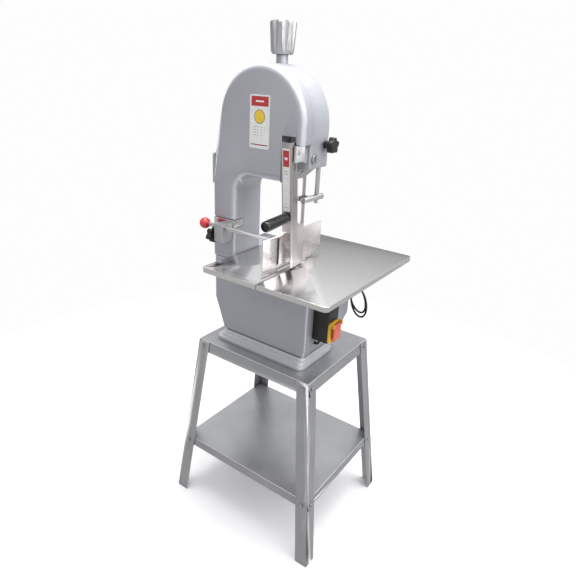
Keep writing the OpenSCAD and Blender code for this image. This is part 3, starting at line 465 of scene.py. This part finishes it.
def outline_round(middle):
    """How far the upper door is rounded at a place on its outline."""
    if in_throat(middle):
        return THROAT_ROUND
    if middle.x < HEAD_LOW.x + 14 * MM and middle.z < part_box("upper_hinge_pin")[1].z + 4 * MM:
        return HINGE_ROUND
    above_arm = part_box("pusher_arm")[1].z + 12 * MM
    beside_blade = middle.x > NOTCH_LEFT and middle.z < above_arm
    return NOTCH_ROUND if beside_blade else OUTER_ROUND


def upper_door_edge(a, b):
    """The door is pressed round its outline, and less round inside, so that its wall stays whole."""
    middle = (a + b) / 2
    if both_on(a, b, 1, FRONT + DOOR_WALL * MM):
        return max(EASED_EDGE, outline_round(middle) - INSIDE_LESS)
    if not both_on(a, b, 1, FRONT) or both_on(a, b, 2, DOOR_LOW.z):
        return EASED_EDGE
    return outline_round(middle)


def lower_door_edge(a, b):
    return LOWER_DOOR_ROUND if both_on(a, b, 1, FRONT) else EASED_EDGE


def head_edge(a, b):
    """The rim behind the door keeps nearly sharp edges, because it is very narrow in places."""
    if both_on(a, b, 1, PARTING):
        return RIM_EDGE
    return CASTING_ROUND if both_on(a, b, 1, HEAD_HIGH.y) else EASED_EDGE


def cover_edge(a, b):
    """Round only along the side that faces the throat."""
    middle = (a + b) / 2
    if both_on(a, b, 1, COVER_FRONT) and abs(middle.x - COVER_RIGHT) < FLAT:
        return COVER_ROUND
    inside = both_on(a, b, 1, COVER_FRONT + DOOR_WALL * MM) and middle.x > COVER_RIGHT - 6 * MM
    return COVER_INSIDE_ROUND if inside else EASED_EDGE


def base_edge(a, b):
    """Round behind the lower door, but not along the top, where the table lies, nor in the hollow."""
    middle = (a + b) / 2
    outside = middle.y > -30 * MM and not both_on(a, b, 2, BASE_HIGH.z)
    inside = (BASE_LOW.x + 6 * MM < middle.x < BASE_HIGH.x - 6 * MM
              and middle.y < BASE_HIGH.y - 6 * MM and middle.z > BASE_LOW.z + 8 * MM)
    return CASTING_ROUND if outside and not inside else EASED_EDGE


# The plinth takes a lighter copy of the castings' enamel: painted light for the light that falls on its
# upward steps.
LIT_PLINTH_PAINT = painted("lit_plinth_paint", (0.54, 0.55, 0.58), (0.57, 0.58, 0.61))
refined("upper_door", THROAT_ROUND, 6, upper_door_edge)
refined("lower_door", LOWER_DOOR_ROUND, 4, lower_door_edge)
refined("head_casting", CASTING_ROUND, 4, head_edge)
refined("base_casting", CASTING_ROUND, 4, base_edge)
refined("base_plinth", 4, 3)
refined("column_base_cover", COVER_ROUND, 4, cover_edge)


# ---------- stand ----------

SHEET_FOLD = 2.2
LEG_FOLD = 2.0
CUT_EDGE = 0.5


def sheet_edge(node):
    """The folds round a shelf's top are rounded more than its cut edges."""
    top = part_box(node)[1].z

    def width(a, b):
        return SHEET_FOLD if both_on(a, b, 2, top) and (a - b).length > 20 * MM else CUT_EDGE
    return width


def leg_edge(node):
    """The fold along a leg's outer corner is rounded more than its cut edges."""
    low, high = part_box(node)
    corner_x = high.x if high.x > 0 else low.x
    corner_y = high.y if high.y > 0 else low.y

    def width(a, b):
        foot = min(a, b, key=lambda point: point.z)
        at_corner = abs(foot.x - corner_x) < MM and abs(foot.y - corner_y) < MM
        return LEG_FOLD if at_corner and (a - b).length > 100 * MM else CUT_EDGE
    return width


for node in ("stand_top", "lower_shelf"):
    refined(node, SHEET_FOLD, 3, sheet_edge(node))
for node in ("leg_front_left", "leg_front_right", "leg_rear_left", "leg_rear_right"):
    refined(node, LEG_FOLD, 3, leg_edge(node))


# ---------- parts whose edges only need easing ----------

EASED = {
    "stand_bolts": 0.8, "stand_nuts": 0.4,
    "work_table": 1.0, "gauge_plate": 0.7, "gauge_rod": 0.8, "gauge_clamp_block": 1.5,
    "gauge_mount_bar": 1.5, "gauge_clamp_knob": 1.6, "post_knob": 1.8, "tension_knob": 1.8,
    "guide_post": 0.6, "guide_bar": 0.8, "guide_pads": 0.5,
    "pusher_arm": 0.9, "pusher_pin": 0.8, "pusher_bracket": 1.2, "door_lock": 0.8,
    "switch_box": 1.8, "switch_frame": 1.2, "stop_flap": 1.2, "start_button": 1.0,
    "stop_button": 1.0, "mains_plug": 1.2, "upper_wheel": 1.0, "lower_wheel": 1.0,
    "upper_wheel_nut": 0.8, "lower_wheel_nut": 0.8, "tension_carriage": 1.2,
    "dust_tray": 0.5, "blade_scrapers": 0.8, "guide_bush": 0.6,
    "upper_hinge_pin": 0.6, "lower_hinge_pin": 0.6, "motor": 1.0, "motor_bolts": 0.6,
    "table_nuts": 0.6, "gauge_ball": 0.6, "carriage_rails": 0.8, "upper_bearings": 0.5,
}
for node, width in EASED.items():
    refined(node, width)
for node, finish in (("pusher_arm", ARM_STEEL), ("gauge_plate", WARM_STEEL),
                     ("pusher_bracket", SATIN_STEEL), ("base_plinth", LIT_PLINTH_PAINT)):
    bpy.data.objects[node + "_shape"].data.materials[0] = finish


# ---------- pieces made here ----------

def mesh_from(name, build):
    """A mesh filled by build(bmesh), smooth except at its sharp edges."""
    work = bmesh.new()
    build(work)
    bmesh.ops.recalc_face_normals(work, faces=work.faces)
    mesh = bpy.data.meshes.new(name)
    work.to_mesh(mesh)
    work.free()
    mesh.shade_smooth()
    mesh.set_sharp_from_angle(angle=math.radians(35))
    return mesh


def join_rings(work, rings, closed=False):
    """Faces between neighbouring rings of corners; a ring of one corner is a tip."""
    pairs = zip(rings, rings[1:] + rings[:1]) if closed else zip(rings, rings[1:])
    for low, high in pairs:
        count = max(len(low), len(high))
        for i in range(count):
            j = (i + 1) % count
            corners = [low[i % len(low)], low[j % len(low)], high[j % len(high)], high[i % len(high)]]
            work.faces.new(list(dict.fromkeys(corners)))


def turned_rings(work, outline, place, sides):
    """Rings round local Z from (radius, height) points; a point on the axis gives one corner."""
    rings = []
    for radius, height in outline:
        turns = [2 * math.pi * i / sides for i in range(sides)] if radius else [0]
        corners = [Vector((radius * math.cos(a), radius * math.sin(a), height)) for a in turns]
        rings.append([work.verts.new(place @ corner) for corner in corners])
    return rings


def turned(name, outline, place, sides=48):
    """A turned shape from (radius, height) points in millimetres, both ends on the axis. place is
    the matrix that puts its axis, local Z, in the frame."""
    return mesh_from(name, lambda work: join_rings(work, turned_rings(work, outline, place, sides)))


def placed_along(start, direction):
    """Matrix that takes millimetres along local Z to metres along a direction from start."""
    turn = Vector(direction).to_track_quat("Z", "Y").to_matrix().to_4x4()
    return Matrix.Translation(start) @ turn @ Matrix.Scale(MM, 4)


def add_detail(name, mesh, slot, parent):
    """A small piece with no CAD node of its own, fixed to a piece that has one."""
    detail = bpy.data.objects.new(name, mesh)
    bpy.context.scene.collection.objects.link(detail)
    detail.data.materials.append(MATERIALS[slot])
    detail.parent = parent


def band_point(length, radius, centre_x, low_z, high_z):
    """The point and outward direction at a length along the band round both wheels."""
    straight = high_z - low_z
    arc = math.pi * radius
    length %= 2 * (straight + arc)
    if length < straight:
        return Vector((centre_x + radius, 0, low_z + length)), Vector((1, 0, 0))
    if length < straight + arc:
        turn = (length - straight) / radius
        out = Vector((math.cos(turn), 0, math.sin(turn)))
        return Vector((centre_x, 0, high_z)) + radius * out, out
    if length < 2 * straight + arc:
        return Vector((centre_x - radius, 0, high_z - (length - straight - arc))), Vector((-1, 0, 0))
    turn = math.pi + (length - 2 * straight - arc) / radius
    out = Vector((math.cos(turn), 0, math.sin(turn)))
    return Vector((centre_x, 0, low_z)) + radius * out, out


TOOTH_PITCH = 6.0 * MM
TOOTH_DEPTH = 2.2 * MM
BLADE_THICK = 0.6 * MM
HOOK = ((0.0, 1.0), (0.68, 0.0), (0.76, 0.05), (0.86, 0.9))   # share of pitch, share of depth


def build_blade(work):
    low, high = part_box("saw_blade")
    radius = (high.x - low.x - BLADE_THICK) / 2
    centre_x = (low.x + high.x) / 2
    low_z = low.z + radius + BLADE_THICK / 2
    high_z = high.z - radius - BLADE_THICK / 2
    total = 2 * (high_z - low_z) + 2 * math.pi * radius
    count = round(total / TOOTH_PITCH)
    rings = []
    for tooth in range(count):
        for share, depth in HOOK:
            point, out = band_point((tooth + share) * total / count, radius, centre_x, low_z, high_z)
            front = Vector((0, low.y + depth * TOOTH_DEPTH, 0))
            back = Vector((0, high.y, 0))
            half = out * BLADE_THICK / 2
            rings.append([work.verts.new(c) for c in (point + half + front, point + half + back,
                                                      point - half + back, point - half + front)])
    join_rings(work, rings, closed=True)


add_piece("toothed_blade", mesh_from("toothed_blade", build_blade), "saw_blade")

HANDLE_TILT = math.radians(5)       # the handle stands square on the arm, which hangs at this tilt
GRIP_LONG = 90.0
GRIP = ((0, -0.2), (10.5, -0.2), (12, 0.8), (12, 5), (13.2, 6.5), (13.4, 30), (13.8, 60), (14, 84),
        (13.2, 88.4), (11.6, 90), (9.8, 89.6), (9.2, 88), (8.4, 86.2), (3, 86), (2.8, 87.2), (0, 87.3))


def make_handle():
    low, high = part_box("pusher_handle")
    out = Vector((0, -math.cos(HANDLE_TILT), -math.sin(HANDLE_TILT)))
    start = (low + high) / 2 - out * GRIP_LONG / 2 * MM
    mesh = turned("handle_grip", GRIP, placed_along(start, out))
    add_piece("handle_grip", mesh, "pusher_handle", GLOSS_BLACK)


make_handle()

SLOT_IN = 63.0                      # middle of the gauge plate's slot, from its front end
SLOT_FOOT, SLOT_HEAD = 22.5, 86.5   # middles of the slot's round ends, from the plate's feet
LINING = ((-3.2, 4.2), (-2.9, 4.85), (-0.6, 4.85), (-0.3, 4.2))


def build_lining(work):
    """Black rubber lining that fills the gauge plate's slot."""
    low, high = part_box("gauge_plate")
    rings = []
    for depth, radius in LINING:
        ring = []
        for k in range(24):
            angle = math.pi * k / 12 + math.pi / 24
            end = SLOT_HEAD if math.sin(angle) > 0 else SLOT_FOOT
            ring.append(work.verts.new((high.x + depth * MM,
                                        low.y + (SLOT_IN + radius * math.cos(angle)) * MM,
                                        low.z + (end + radius * math.sin(angle)) * MM)))
        rings.append(ring)
    join_rings(work, rings)
    work.faces.new(rings[0])
    work.faces.new(rings[-1])


add_detail("slot_lining", mesh_from("slot_lining", build_lining), "cable_rubber",
           bpy.data.objects["gauge_plate_shape"])


THREAD_R = 8.0 * MM
THREAD_DEPTH = 0.9 * MM
THREAD_PITCH = 4.0 * MM
THREAD_SIDES = 32
THREAD_STEPS = 6                    # rings to a turn
COLLAR_DROP, COLLAR_HIGH = 35 * MM, 9 * MM      # the collar's top below the head's, its height


def thread_ring(work, centre, z, step):
    """One ring of the thread: its crest stands further round at every step."""
    ring = []
    for i in range(THREAD_SIDES):
        phase = (step / THREAD_STEPS + i / THREAD_SIDES) % 1.0
        radius = THREAD_R - THREAD_DEPTH * abs(2 * phase - 1)
        turn = 2 * math.pi * i / THREAD_SIDES
        ring.append(work.verts.new((centre.x + radius * math.cos(turn),
                                    centre.y + radius * math.sin(turn), z)))
    return ring


def build_screw(work):
    """The tension screw as a helical thread, with its collar below the head's top."""
    low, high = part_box("tension_screw")
    centre = (low + high) / 2
    rings = [[work.verts.new((centre.x, centre.y, low.z))]]
    for k in range(int((high.z - low.z) / THREAD_PITCH * THREAD_STEPS)):
        z = low.z + (k + 0.5) * THREAD_PITCH / THREAD_STEPS
        rings.append(thread_ring(work, centre, z, k))
    rings.append([work.verts.new((centre.x, centre.y, high.z))])
    join_rings(work, rings)
    collar = (high.x - low.x) / 2
    top = HEAD_HIGH.z - COLLAR_DROP
    bottom = top - COLLAR_HIGH
    outline = ((0, bottom), (collar - MM, bottom), (collar, bottom + MM), (collar, top - MM),
               (collar - MM, top), (0, top))
    axis = Matrix.Translation((centre.x, centre.y, 0))
    join_rings(work, turned_rings(work, outline, axis, THREAD_SIDES))


add_piece("tension_thread", mesh_from("tension_thread", build_screw), "tension_screw")


def tube(name, knots, radius):
    """A smooth round lead through the neighbourhood of its knots."""
    curve = bpy.data.curves.new(name, "CURVE")
    curve.dimensions = "3D"
    curve.bevel_depth = radius
    curve.bevel_resolution = 3
    curve.resolution_u = 8
    curve.use_fill_caps = True
    line = curve.splines.new("NURBS")
    line.points.add(len(knots) - 1)
    for knot, point in zip(line.points, knots):
        knot.co = (*point, 1)
    line.order_u = 4
    line.use_endpoint_u = True
    holder = bpy.data.objects.new(name, curve)
    bpy.context.scene.collection.objects.link(holder)
    shown = holder.evaluated_get(bpy.context.evaluated_depsgraph_get())
    mesh = bpy.data.meshes.new_from_object(shown)
    bpy.data.objects.remove(holder)
    mesh.shade_smooth()
    return mesh


CABLE_R = 2.9 * MM
COIL_TURNS = 2.25
GLAND = ((0, -1), (9.5, -1), (9.5, 3), (8.2, 4), (8.2, 7), (7, 10.5), (4.2, 12), (0, 12))


def coil_knots(centre, half_width, half_height):
    """Loops that hang askew: each is smaller and more tilted than the last, and a little behind it."""
    knots = []
    steps = round(COIL_TURNS * 16)
    for k in range(steps + 1):
        turn = k / 16
        angle = math.pi / 2 + 2 * math.pi * turn
        size = 1 - 0.13 * turn
        rise = half_height * size * math.sin(angle)
        across = half_width * size * math.cos(angle) - (0.10 + 0.16 * turn) * rise - 6 * MM * turn
        depth = 9 * MM * turn + 5 * MM * math.sin(angle * 0.5)
        knots.append(centre + Vector((across, depth, rise + half_height * 0.13 * turn)))
    return knots


def make_leads():
    """The mains lead rises from the switch box, runs back below the table, hangs in a coil and
    drops to its plug; its gland stands on the box."""
    box_low, box_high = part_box("switch_box")
    plug_low, plug_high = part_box("mains_plug")
    start = Vector((box_low.x + 20 * MM, box_high.y - 14 * MM, box_high.z))
    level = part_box("power_cable")[1].z - 4 * MM
    coil_x, coil_y = box_low.x + 42 * MM, box_high.y + 128 * MM
    centre = Vector((coil_x, coil_y, box_high.z - 57 * MM))
    plug_middle = (plug_low + plug_high) / 2
    plug = Vector((plug_middle.x, plug_middle.y, plug_high.z - 2 * MM))
    rise = [start + Vector((0, 0, up * MM)) for up in (2, 18, 34)]
    over = [Vector((start.x, start.y + 14 * MM, level)),
            Vector((start.x + 3 * MM, start.y + 50 * MM, level)),
            Vector((coil_x - 8 * MM, coil_y - 22 * MM, level - 4 * MM))]
    behind = Vector((coil_x - 36 * MM, coil_y + 36 * MM, centre.z + 6 * MM))
    drop = [behind, Vector((plug.x + 20 * MM, plug.y, centre.z)),
            *(plug + Vector((0, 0, up * MM)) for up in (50, 20)), plug]
    knots = rise + over + coil_knots(centre, 29 * MM, 52 * MM) + drop
    lead = add_piece("mains_lead", tube("mains_lead", knots, CABLE_R), "power_cable")
    add_detail("lead_gland", turned("lead_gland", GLAND, placed_along(start, (0, 0, 1)), 24),
               "black_plastic", lead)


make_leads()


# ---------- CAD nodes that stay as they are ----------

def finish_cad_nodes():
    """Every CAD node still showing gets the detailed material of its slot."""
    own = {"door_label": DOOR_PRINT, "arm_label": ARM_PRINT}
    for node, shown in frame["nodes"].items():
        if not shown.hide_render:
            for slot in shown.material_slots:
                slot.material = own.get(node) or MATERIALS[SLOT_OF[node]]


finish_cad_nodes()


# ---------- stage ----------

PALE = (0.985, 0.985, 0.985)
FLOOR_REACH = 60.0
REFLECTED_FLOOR = (0.56, 0.56, 0.56)
BRIGHT_SIDE = (0.80, 0.45, 0.40)    # the room is brighter to the right and behind
BRIGHT_SIDE_LIGHT = 1.35
DIM_SIDE_LIGHT = 0.55
# share of the way from straight down to straight up, brightness there
ROOM_TONES = ((0.0, 0.62), (0.42, 0.55), (0.52, 0.42), (0.62, 0.62), (0.8, 1.0), (1.0, 1.25))
FADE_FROM, FADE_TO = 0.5, 1.8       # metres from the middle, where the floor turns into background


def area_light(name, place, target, size, power):
    """A rectangular lamp at a place, aimed at a target; size in metres, power in watts."""
    data = bpy.data.lights.new(name, "AREA")
    data.shape = "RECTANGLE"
    data.size, data.size_y = size
    data.energy = power
    lamp = bpy.data.objects.new(name, data)
    lamp.location = place
    lamp.rotation_euler = (Vector(target) - Vector(place)).to_track_quat("-Z", "Y").to_euler()
    bpy.context.scene.collection.objects.link(lamp)


def room_light(tree):
    """The background that lights the object: a soft gradient, darkest at eye level and in front."""
    direction = tree.nodes.new("ShaderNodeTexCoord").outputs["Generated"]
    split = tree.nodes.new("ShaderNodeSeparateXYZ")
    tree.links.new(direction, split.inputs["Vector"])
    height = tree.nodes.new("ShaderNodeMapRange")
    height.inputs["From Min"].default_value = -1.0
    tree.links.new(split.outputs["Z"], height.inputs["Value"])
    ramp = tree.nodes.new("ShaderNodeValToRGB")
    tree.links.new(height.outputs["Result"], ramp.inputs["Fac"])
    while len(ramp.color_ramp.elements) < len(ROOM_TONES):
        ramp.color_ramp.elements.new(0.5)
    for element, (position, value) in zip(ramp.color_ramp.elements, ROOM_TONES):
        element.position = position
        element.color = (value, value, value * 1.02, 1)
    side = tree.nodes.new("ShaderNodeVectorMath")
    side.operation = "DOT_PRODUCT"
    side.inputs[1].default_value = BRIGHT_SIDE
    tree.links.new(direction, side.inputs[0])
    strength = tree.nodes.new("ShaderNodeMapRange")
    strength.inputs["From Min"].default_value = -1.0
    strength.inputs["To Min"].default_value = DIM_SIDE_LIGHT
    strength.inputs["To Max"].default_value = BRIGHT_SIDE_LIGHT
    tree.links.new(side.outputs["Value"], strength.inputs["Value"])
    room = tree.nodes.new("ShaderNodeBackground")
    tree.links.new(strength.outputs["Result"], room.inputs["Strength"])
    tree.links.new(ramp.outputs["Color"], room.inputs["Color"])
    return room.outputs["Background"]


def make_world():
    """The camera sees a plain pale room; the object is lit by room_light."""
    world = bpy.data.worlds.new("studio")
    world.use_nodes = True
    tree = world.node_tree
    tree.nodes.clear()
    lit = room_light(tree)
    pale = tree.nodes.new("ShaderNodeBackground")
    pale.inputs["Color"].default_value = (*PALE, 1)
    path = tree.nodes.new("ShaderNodeLightPath")
    mix = tree.nodes.new("ShaderNodeMixShader")
    tree.links.new(path.outputs["Is Camera Ray"], mix.inputs["Fac"])
    tree.links.new(lit, mix.inputs[1])
    tree.links.new(pale.outputs["Background"], mix.inputs[2])
    tree.links.new(mix.outputs["Shader"], tree.nodes.new("ShaderNodeOutputWorld").inputs["Surface"])
    bpy.context.scene.world = world


def make_floor():
    """A pale floor that fades into the background's own tone, so that no horizon shows. The object
    sees it as a dimmer workshop floor."""
    mesh = bpy.data.meshes.new("floor")
    work = bmesh.new()
    bmesh.ops.create_grid(work, x_segments=1, y_segments=1, size=FLOOR_REACH)
    work.to_mesh(mesh)
    work.free()
    floor = bpy.data.objects.new("floor", mesh)
    bpy.context.scene.collection.objects.link(floor)
    s = Shade("floor", roughness=0.9)
    s.colour(s.mix(s.noise(3, 2), (0.90, 0.90, 0.905), (0.93, 0.93, 0.93)))
    away = s.add("ShaderNodeVectorMath")
    away.operation = "LENGTH"
    s.feed(away.inputs[0], s.place)
    glow = s.add("ShaderNodeEmission")
    s.feed(glow.inputs["Color"], PALE)
    blend = s.add("ShaderNodeMixShader")
    s.feed(blend.inputs["Fac"], s.span(away.outputs["Value"], FADE_FROM, FADE_TO))
    s.tree.links.new(s.surface.outputs["BSDF"], blend.inputs[1])
    s.tree.links.new(glow.outputs["Emission"], blend.inputs[2])
    dim = s.add("ShaderNodeEmission")
    s.feed(dim.inputs["Color"], REFLECTED_FLOOR)
    seen = s.add("ShaderNodeMixShader")
    s.feed(seen.inputs["Fac"], s.add("ShaderNodeLightPath").outputs["Is Camera Ray"])
    s.tree.links.new(dim.outputs["Emission"], seen.inputs[1])
    s.tree.links.new(blend.outputs["Shader"], seen.inputs[2])
    s.tree.links.new(seen.outputs["Shader"], s.tree.nodes["Material Output"].inputs["Surface"])
    mesh.materials.append(s.material)


AZIMUTH, ELEVATION, ROLL = 34.3, 22.8, -3.0     # degrees; azimuth from the front to the right
CAMERA_PLACE = (0.7693, -1.1229, 1.3324)
SENSOR_MM = 36
LENS_MM = 31.14


def make_camera():
    """The photograph's viewpoint: right of the doors, above the table, a little tilted."""
    azimuth, elevation, roll = (math.radians(angle) for angle in (AZIMUTH, ELEVATION, ROLL))
    back = Vector((math.sin(azimuth) * math.cos(elevation),
                   -math.cos(azimuth) * math.cos(elevation), math.sin(elevation)))
    right = Vector((math.cos(azimuth), math.sin(azimuth), 0))
    up = back.cross(right)
    side = right * math.cos(roll) - up * math.sin(roll)
    top = right * math.sin(roll) + up * math.cos(roll)
    data = bpy.data.cameras.new("camera")
    data.sensor_width = SENSOR_MM
    data.lens = LENS_MM
    camera = bpy.data.objects.new("camera", data)
    turn = Matrix((side, top, back)).transposed().to_4x4()
    camera.matrix_world = Matrix.Translation(CAMERA_PLACE) @ turn
    bpy.context.scene.collection.objects.link(camera)
    bpy.context.scene.camera = camera


make_world()
make_floor()
make_camera()
area_light("overhead", place=(0.2, 0.1, 3.0), target=(0, 0, 0.9), size=(1.8, 1.8), power=62)
area_light("right", place=(2.7, 0.3, 1.9), target=(0, 0, 1.0), size=(1.6, 2.2), power=30)
area_light("front", place=(-0.9, -2.8, 1.6), target=(0, 0, 0.8), size=(2.0, 1.6), power=6)
bpy.context.scene.view_settings.view_transform = "Standard"
